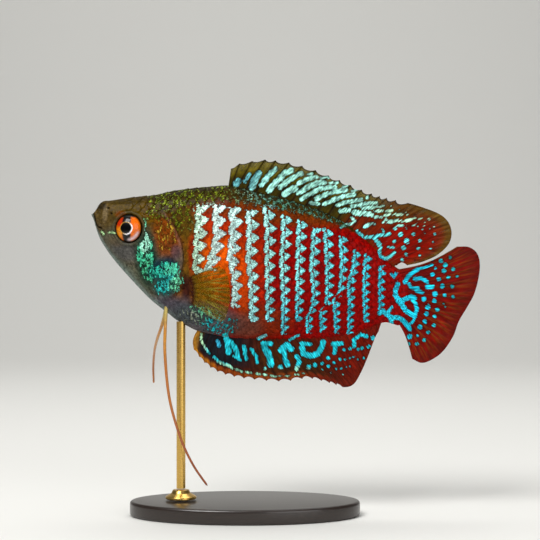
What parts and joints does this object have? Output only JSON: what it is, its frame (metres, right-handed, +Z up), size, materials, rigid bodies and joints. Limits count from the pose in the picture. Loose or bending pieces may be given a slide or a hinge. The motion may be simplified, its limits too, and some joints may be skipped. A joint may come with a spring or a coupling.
{
  "type": "dwarf gourami",
  "caption": "Life-size male dwarf gourami with spread fins and thread-like feelers, held by a short rod on an oval base.",
  "frame": {"origin": "middle of the underside of the stand's base, on the floor", "axes": "+Z up, -X towards the snout, -Y out of the fish's left side"},
  "size_m": [0.0779, 0.0344, 0.0711],
  "materials": {
    "skin": "wet, scaled, with iridescent marks",
    "fin": "thin, ribbed, slightly clear",
    "eye": "polished, clear-coated",
    "feeler": "smooth satin",
    "wood": "ebonised, satin lacquer",
    "brass": "turned, lightly brushed"
  },
  "bodies": {
    "root": {"head": "skin", "lower_jaw": "skin", "trunk": "skin", "tail_stalk": "skin", "eye_left": "eye", "eye_right": "eye", "dorsal_fin": "fin", "anal_fin": "fin", "tail_fin": "fin", "pectoral_fin_left": "fin", "pectoral_fin_right": "fin", "feeler_left_root": "feeler", "feeler_left_middle": "feeler", "feeler_left_tip": "feeler", "feeler_right_root": "feeler", "feeler_right_middle": "feeler", "feeler_right_tip": "feeler", "stand_base": "wood", "stand_foot": "brass", "stand_rod": "brass"}
  },
  "joints": []
}
